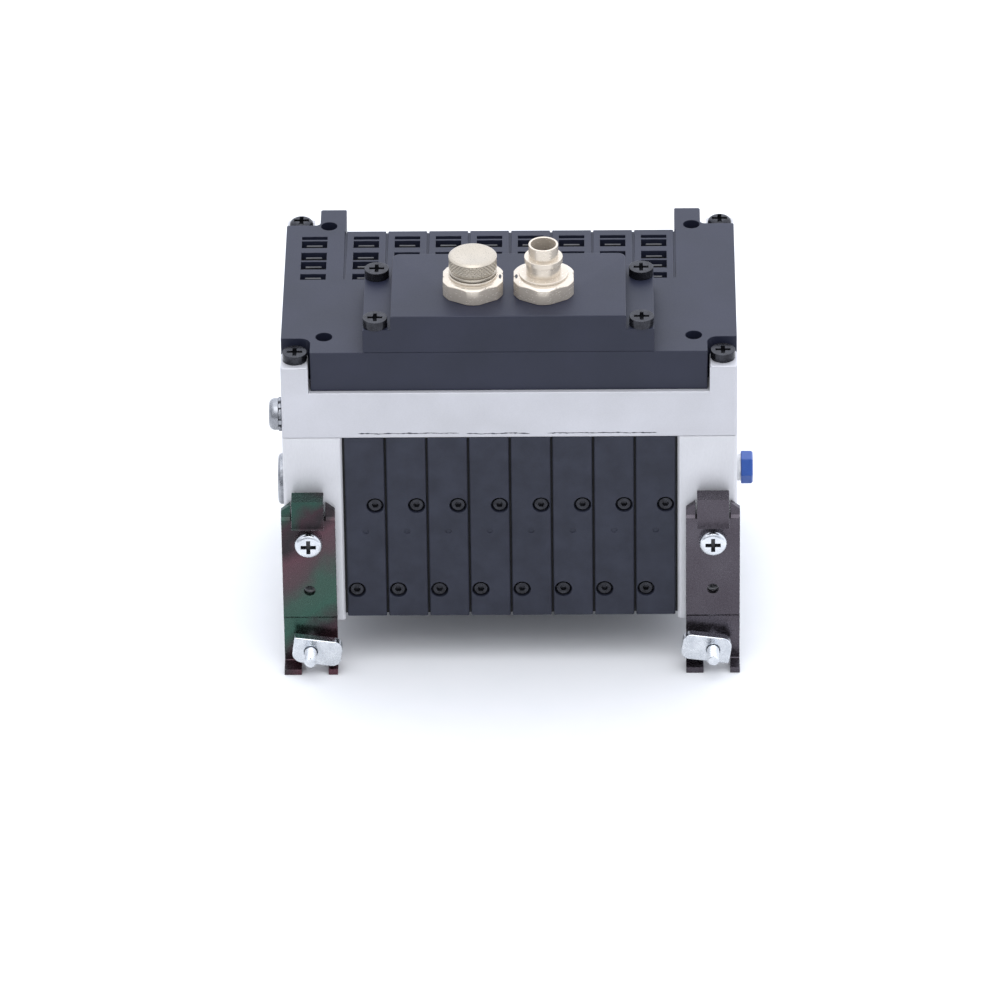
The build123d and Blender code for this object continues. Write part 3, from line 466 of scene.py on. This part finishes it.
def turned(name, profile, centre, outward, columns=96, relief=None):
    """A surface of revolution. With two directions u and v square to the outward axis,
    point = centre + r cos(a) u + r sin(a) v + h outward, for each (r, h) of the profile and each
    angle a round the axis; relief(a, r, h) is added to r first."""
    axis = np.array(outward, float)
    across = np.cross(axis, np.roll(axis, 1))
    level = np.cross(axis, across)
    radius, height = np.array(profile, float).T
    angle = np.linspace(0, 2 * np.pi, columns, endpoint=False)
    a, r = np.meshgrid(angle, radius)
    h = np.repeat(height[:, None], columns, axis=1)
    if relief is not None:
        r = np.maximum(r + relief(a, r, h), 0)
    points = (
        (r * np.cos(a))[..., None] * across + (r * np.sin(a))[..., None] * level + h[..., None] * axis
    )
    return closed_grid(name, (points + np.array(centre, float)) * MM)


def ridge(value):
    """1 on whole numbers, 0 half way between them, straight in between."""
    return np.abs(2 * (value - np.floor(value)) - 1)


# ------------------------------------------------------------------- pieces carried over from CAD
# slot: (width of the edge rounding, nodes)
rounded_nodes = {
    "cast_aluminium": (0.28, ["yoke"]),
    "plate_aluminium": (0.2, ["left_end_plate", "right_end_plate"]),
    "cover_plastic": (0.25, ["electronics_cover", "connector_housing"]),
    "slice_plastic": (0.1, [f"valve_slice_{n}" for n in range(1, SLICES + 1)]),
    "guide_plastic": (0.1, ["light_guides"]),
    "black_screw_steel": (0.12, ["slice_screws", "corner_screws", "housing_screws"]),
    "zinc_steel": (0.14, ["tie_rods", "tie_nuts", "earth_screw", "bracket_screws"]),
    "plug_steel": (0.2, ["port_plug"]),
    "seal_plastic": (0.15, ["seal_ring"]),
    "blue_plastic": (0.2, ["blue_plug"]),
    "nickel_brass": (
        0.16,
        ["connector_nut_left", "connector_nut_right", "connector_body_left", "connector_body_right"],
    ),
    "insert_plastic": (0.1, ["contact_insert_left", "contact_insert_right"]),
    "chromated_steel": (0.14, ["rail_bracket_left", "rail_bracket_right"]),
    "button_plastic": (0.15, [f"override_button_{n}" for n in range(1, SLICES + 1)]),
}
# share of the rounding on edges under LONG_EDGE, where it isn't 1
short_edge_share = {"cover_plastic": 0.4, "chromated_steel": 0.4}
for slot, (width, names) in rounded_nodes.items():
    for node in names:
        rounded(node, slot, width, fine=short_edge_share.get(slot, 1.0))
for _, name in SIDES:
    rounded(f"clamp_plate_{name}", "zinc_steel", 0.35, segments=3)

# sealed or hidden pieces keep their CAD mesh and only take a finish
plain_nodes = {
    "gasket_rubber": ["slice_gaskets"],
    "board_laminate": ["circuit_board"],
    "solenoid_plastic": ["pilot_solenoids"],
    "spool_aluminium": [f"spool_{n}" for n in range(1, SLICES + 1)],
}
for slot, names in plain_nodes.items():
    for node in names:
        nodes[node].data.materials.clear()
        nodes[node].data.materials.append(finishes[slot])

# painted highlight on the hook tongue's cut edges: the faces that look along the rail, above the screw
# and in front of the ears, take the bright steel colour
TONGUE_LOW = 10.5
TONGUE_BACK = 1.2
for _, name in SIDES:
    bracket = bpy.data.objects[f"rail_bracket_{name}_finished"]
    bracket.data.materials.append(tongue_edge_highlight)
    for face in bracket.data.polygons:
        on_tongue = face.center.z > TONGUE_LOW * MM and face.center.y < TONGUE_BACK * MM
        if on_tongue and abs(face.normal.x) > 0.95:
            face.material_index = 1

# painted shade in the cross recesses of the bright screws: faces sunk below the head's top, near the
# screw's axis, take a dark finish where the recess lies in shade
RECESS_TOP = 0.25
RECESS_BOTTOM = 1.3
RECESS_REACH = 1.85
# a dark finish painted as the shade inside recesses, used in the screws' cross recesses and in the
# nuts' key slots
painted_shade = finish("recess_painted_shade", ("#1c1d20", "#3a3b3f"), 0.3, (0.3, 0.5), 0.01, broad=1.0)
screw_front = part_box("bracket_screws")[0].y
screws = bpy.data.objects["bracket_screws_finished"]
screws.data.materials.append(painted_shade)
for face in screws.data.polygons:
    sunk = RECESS_TOP * MM < face.center.y - screw_front < RECESS_BOTTOM * MM
    off_axis = math.hypot(abs(face.center.x) - BRACKET_X * MM, face.center.z - BRACKET_SCREW_Z * MM)
    if sunk and off_axis < RECESS_REACH * MM:
        face.material_index = 1


# ------------------------------------------------------------------------------- knurled dust cap
cap_low, cap_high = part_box("dust_cap")
cap_centre = [
    (cap_low.x + cap_high.x) / 2 / MM,
    (cap_low.y + cap_high.y) / 2 / MM,
    cap_low.z / MM,
]
cap_radius = (cap_high.x - cap_low.x) / 2 / MM
cap_height = (cap_high.z - cap_low.z) / MM
KNURL_COUNT = 36  # diamonds round the cap
KNURL_DEPTH = 0.38
KNURL_LOW = 1.25
KNURL_HIGH = cap_height - 0.5


def knurl(a, r, h):
    """Rows of diamonds: the lesser of two ridges that climb to the left and to the right, cut into
    the band of the outer wall between KNURL_LOW and KNURL_HIGH."""
    spacing = 2 * np.pi * cap_radius / KNURL_COUNT
    turn = KNURL_COUNT * a / (2 * np.pi)
    diamonds = np.minimum(ridge(turn + h / spacing), ridge(turn - h / spacing))
    band = (h > KNURL_LOW) & (h < KNURL_HIGH) & (r > cap_radius - 0.05)
    return np.where(band, KNURL_DEPTH * (diamonds - 1), 0.0)


# top with a shallow dish, chamfer, knurled wall, groove and lip, then the bore from below
cap_profile = (
    [(0, cap_height - 0.06), (3.6, cap_height - 0.06), (3.8, cap_height)]
    + [(cap_radius - 0.55, cap_height), (cap_radius - 0.5, cap_height - 0.02)]
    + [(cap_radius - 0.08, cap_height - 0.36)]
    + along([(cap_radius, cap_height - 0.45), (cap_radius, KNURL_LOW - 0.05)], 0.1).tolist()
    + [(cap_radius - 0.1, 1.1), (cap_radius - 0.42, 1.0), (cap_radius - 0.46, 0.72)]
    + [(cap_radius - 0.16, 0.58), (cap_radius - 0.08, 0.5), (cap_radius - 0.08, 0.14)]
    + [(cap_radius - 0.22, 0), (cap_radius - 0.95, 0), (cap_radius - 1, 0.05)]
    + [(cap_radius - 1, cap_height - 0.95), (cap_radius - 1.1, cap_height - 0.9), (0, cap_height - 0.9)]
)
cap = turned("dust_cap_knurled", cap_profile, cap_centre, (0, 0, 1), KNURL_COUNT * 10, knurl)
settle(cap, nodes["dust_cap"]["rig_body"], "nickel_brass", cap_nickel, "dust_cap")


# --------------------------------------------------------------------- clamp screws and lock washer
screws_low, screws_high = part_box("clamp_screws")
screw_length = (screws_high.y - screws_low.y) / MM
HEAD_RADIUS = 2.6
HEAD_HEIGHT = 1.8
COLLAR_RADIUS = 2.4
COLLAR_START = 3.3
COLLAR_END = 5.1
NECK_RADIUS = 1.5
THREAD_RADIUS = 1.48
THREAD_PITCH = 0.5
THREAD_DEPTH = 0.22
THREAD_START = 8.0


def thread(a, r, h):
    """A ridge that climbs one pitch a turn: r falls by the depth half way between its crests."""
    on_shank = (h > THREAD_START) & (r > THREAD_RADIUS - 0.1)
    return np.where(on_shank, THREAD_DEPTH * (ridge(h / THREAD_PITCH - a / (2 * np.pi)) - 1), 0.0)


# head, neck through the foot, collar behind the clamp plate, and the long threaded end
screw_profile = (
    [(0, 0.05), (0.9, 0), (HEAD_RADIUS - 0.25, 0), (HEAD_RADIUS, 0.25)]
    + [(HEAD_RADIUS, HEAD_HEIGHT - 0.1), (HEAD_RADIUS - 0.1, HEAD_HEIGHT)]
    + [(NECK_RADIUS, HEAD_HEIGHT), (NECK_RADIUS, COLLAR_START)]
    + [(COLLAR_RADIUS - 0.1, COLLAR_START), (COLLAR_RADIUS, COLLAR_START + 0.1)]
    + [(COLLAR_RADIUS, COLLAR_END - 0.1), (COLLAR_RADIUS - 0.1, COLLAR_END - 0.03)]
    + [(THREAD_RADIUS, COLLAR_END - 0.03)]
    + along(
        [(THREAD_RADIUS, COLLAR_END), (THREAD_RADIUS, screw_length - 0.3)], THREAD_PITCH / 8
    ).tolist()
    + [(1.15, screw_length), (0, screw_length)]
)
for side, name in SIDES:
    screw_centre = [side * BRACKET_X, screws_high.y / MM, CLAMP_SCREW_Z]
    screw = turned(f"clamp_screw_{name}", screw_profile, screw_centre, (0, -1, 0), 48, thread)
    settle(screw, nodes["clamp_screws"]["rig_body"], "zinc_steel", finishes["zinc_steel"])
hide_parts("clamp_screws")

washer_low, washer_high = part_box("lock_washer")
WASHER_TEETH = 12
WASHER_BORE = 2.25
TOOTH_DEPTH = 0.7
washer_radius = (washer_high.y - washer_low.y) / 2 / MM
washer_width = (washer_high.x - washer_low.x) / MM


def teeth(a, r, h):
    """Square teeth round the rim: where the ridge over the teeth is below 0.45, the outer wall
    steps in by the depth."""
    rim = r > washer_radius - 0.3
    gap = ridge(WASHER_TEETH * a / (2 * np.pi)) < 0.45
    return np.where(rim & gap, -TOOTH_DEPTH, 0.0)


washer_profile = [
    (WASHER_BORE, 0.12),
    (washer_radius - 0.25, 0.12),
    (washer_radius - 0.05, 0),
    (washer_radius, 0.1),
    (washer_radius, washer_width - 0.1),
    (washer_radius - 0.05, washer_width),
    (washer_radius - 0.25, washer_width - 0.12),
    (WASHER_BORE, washer_width - 0.12),
    (WASHER_BORE, 0.12),
]
washer_centre = [
    washer_high.x / MM,
    (washer_low.y + washer_high.y) / 2 / MM,
    (washer_low.z + washer_high.z) / 2 / MM,
]
washer = turned("lock_washer_toothed", washer_profile, washer_centre, (-1, 0, 0), 144, teeth)
settle(washer, nodes["lock_washer"]["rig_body"], "zinc_steel", finishes["plug_steel"], "lock_washer")
# the earth screw has the washer's grey plating
earth_screw = bpy.data.objects["earth_screw_finished"]
earth_screw.data.materials[0] = finishes["plug_steel"]


# ------------------------------------------------------------- painted shade for key slots in the connectors' nuts
# painted shade: one dark, flat lens on each nut's top face, standing in for the shaded key slot
KEY_SLOT_OFFSET = (6.5, -0.9)  # from the nut's axis: toward the other nut, and toward the rail
KEY_SLOT_HALF = [0.34, 1.0, 0.04]


def flattened_ball(name, centre, half):
    """A flattened ball: point = centre + half * (cos(b) cos(a), cos(b) sin(a), sin(b))."""
    b = np.linspace(-np.pi / 2, np.pi / 2, 9)[:, None]
    a = np.linspace(0, 2 * np.pi, 24, endpoint=False)[None, :]
    ball = np.stack([np.cos(b) * np.cos(a), np.cos(b) * np.sin(a), np.sin(b) + 0 * a], axis=-1)
    return closed_grid(name, (np.array(centre) + ball * np.array(half)) * MM)


for side, name in SIDES:
    node = f"connector_nut_{name}"
    nut_low, nut_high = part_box(node)
    middle = (nut_low + nut_high) / 2 / MM
    inward, forward = KEY_SLOT_OFFSET
    slot_place = [middle.x - side * inward, middle.y + forward, nut_high.z / MM]
    # the lens takes the dark painted-shade finish; no slot is cut into the nut
    key_slot_shade = flattened_ball(f"{node}_key_slot_shade", slot_place, KEY_SLOT_HALF)
    settle(key_slot_shade, nodes[node]["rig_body"], "nickel_brass", painted_shade)


# ---------------------------------------------------------- chips along the yoke's lower front edge
yoke_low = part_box("yoke")[0]
CHIP_STEP = 0.25  # between two stations along the edge
CHIP_HALF_WIDTH = 0.1
CHIP_LEAST_WIDTH = 0.07
CHIP_HALF_DEPTH = 0.02
CHIP_PROUD = 0.012  # the streak's middle stands this far before the yoke's front
CHIP_TAPER = 0.8  # length of each pointed end
chance = np.random.default_rng(11)


def running_mean(count, window):
    """Smoothed noise: each value is the mean of a window of random draws."""
    return np.convolve(chance.normal(size=count + window - 1), np.ones(window) / window, "valid")


def chip_line(name, start, end, height):
    """A thin streak: a lens-shaped section carried along the edge, point = (x, y0 + d cos(a),
    z(x) + w(x) sin(a)). The half width w and the height z wander, and w falls to 0 at both ends."""
    stations = np.linspace(start, end, int((end - start) / CHIP_STEP))
    angle = np.linspace(0, 2 * np.pi, 8, endpoint=False)
    wander = running_mean(stations.size, 9)
    rough = running_mean(stations.size, 3)
    ends = np.clip(np.minimum(stations - start, end - stations) / CHIP_TAPER, 0, 1)
    width = np.maximum(CHIP_HALF_WIDTH + 0.08 * rough, CHIP_LEAST_WIDTH) * ends
    depth = CHIP_HALF_DEPTH * (ends > 0)
    middle = height + 0.16 * wander
    x = np.repeat(stations[:, None], angle.size, axis=1)
    y = yoke_low.y / MM - CHIP_PROUD + depth[:, None] * np.cos(angle)[None, :]
    z = middle[:, None] + width[:, None] * np.sin(angle)[None, :]
    return closed_grid(name, np.stack([x, y, z], axis=-1) * MM)


# start, end and height of each streak
chips = ((-36.5, -12.0, 35.0), (-10.5, 5.0, 34.85), (9.0, 35.5, 34.9))
for number, (start, end, height) in enumerate(chips, start=1):
    streak = chip_line(f"yoke_edge_chips_{number}", start, end, height)
    settle(streak, nodes["yoke"]["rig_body"], "cast_aluminium", chipped_edge)


# ------------------------------------------------------------------------ floor, light and camera
FLOOR_HALF = 3.0  # metres
floor_z = cad_box[0].z - 0.05 * MM
floor_mesh = bpy.data.meshes.new("floor_mesh")
corners = [(FLOOR_HALF * x, FLOOR_HALF * y, floor_z) for x, y in ((-1, -1), (1, -1), (1, 1), (-1, 1))]
floor_mesh.from_pydata(corners, [], [(0, 1, 2, 3)])
floor = bpy.data.objects.new("studio_floor", floor_mesh)
scene.collection.objects.link(floor)
# matt paper: an even pale floor with no grain to see
floor_mesh.materials.append(
    finish(
        "paper_white_sweep", ("#e3e4e4", "#e6e6e6"), 8.0, (0.8, 0.9),
        broad=400.0, Specular_IOR_Level=0.1,
    )
)

# a pale room: strength rises toward the back, toward the top and a little toward the right
ROOM_FRONT, ROOM_BACK = 0.42, 1.5
ROOM_UPWARD = 0.75
ROOM_RIGHTWARD = 0.25
world = bpy.data.worlds.new("studio")
world.use_nodes = True
scene.world = world
sky = world.node_tree
direction = add_node(sky, "ShaderNodeTexCoord").outputs["Generated"]
facing = add_node(sky, "ShaderNodeSeparateXYZ", inputs={"Vector": direction})
backward = add_node(
    sky,
    "ShaderNodeMapRange",
    inputs={
        "Value": facing.outputs["Y"],
        "From Min": -1.0,
        "From Max": 1.0,
        "To Min": ROOM_FRONT,
        "To Max": ROOM_BACK,
    },
)
upward = add_node(
    sky,
    "ShaderNodeMath",
    {"operation": "MULTIPLY_ADD"},
    {0: facing.outputs["Z"], 1: ROOM_UPWARD, 2: backward.outputs[0]},
)
strength = add_node(
    sky,
    "ShaderNodeMath",
    {"operation": "MULTIPLY_ADD"},
    {0: facing.outputs["X"], 1: ROOM_RIGHTWARD, 2: upward.outputs[0]},
)
background = sky.nodes["Background"]
background.inputs["Color"].default_value = (0.93, 0.965, 1.06, 1.0)  # white with a little blue
sky.links.new(strength.outputs[0], background.inputs["Strength"])

# name: (place, target, width, depth, watts), in metres
soft_lights = {
    "overhead_softbox": ((-0.25, 0.15, 1.5), (0, 0.03, 0), 1.5, 1.2, 3.5),
    "overhead_front_softbox": ((0.1, -0.7, 1.5), (0, 0, 0), 1.2, 1.2, 7.0),
    "front_left_softbox": ((-1.1, -1.2, 1.1), (0, 0.03, 0.03), 0.6, 0.6, 1.2),
}
for name, (place, target, width, depth, watts) in soft_lights.items():
    light = bpy.data.lights.new(name, "AREA")
    light.shape = "RECTANGLE"
    light.size = width
    light.size_y = depth
    light.energy = watts
    lamp = bpy.data.objects.new(name, light)
    lamp.location = place
    lamp.rotation_euler = (Vector(target) - Vector(place)).to_track_quat("-Z", "Y").to_euler()
    scene.collection.objects.link(lamp)

# a long lens, a little above the object and square to its rail side
AZIMUTH = math.radians(0.833)
ELEVATION = math.radians(31.6)
ROLL = math.radians(-0.758)
DISTANCE = 2.2
FOCAL_LENGTH = 322.7
AIM = Vector((-0.002985, 0.037, -0.005244))
back = Vector(
    (
        math.sin(AZIMUTH) * math.cos(ELEVATION),
        -math.cos(AZIMUTH) * math.cos(ELEVATION),
        math.sin(ELEVATION),
    )
)
level_right = Vector((math.cos(AZIMUTH), math.sin(AZIMUTH), 0))
level_up = back.cross(level_right)
right = math.cos(ROLL) * level_right + math.sin(ROLL) * level_up
up = back.cross(right)
camera_data = bpy.data.cameras.new("view")
camera_data.lens = FOCAL_LENGTH
camera_data.sensor_width = 36.0
camera_data.clip_end = 20.0
camera = bpy.data.objects.new("view", camera_data)
camera.matrix_world = Matrix.Translation(AIM + DISTANCE * back) @ Matrix(
    (right, up, back)
).transposed().to_4x4()
scene.collection.objects.link(camera)
scene.camera = camera
scene.view_settings.view_transform = "Standard"
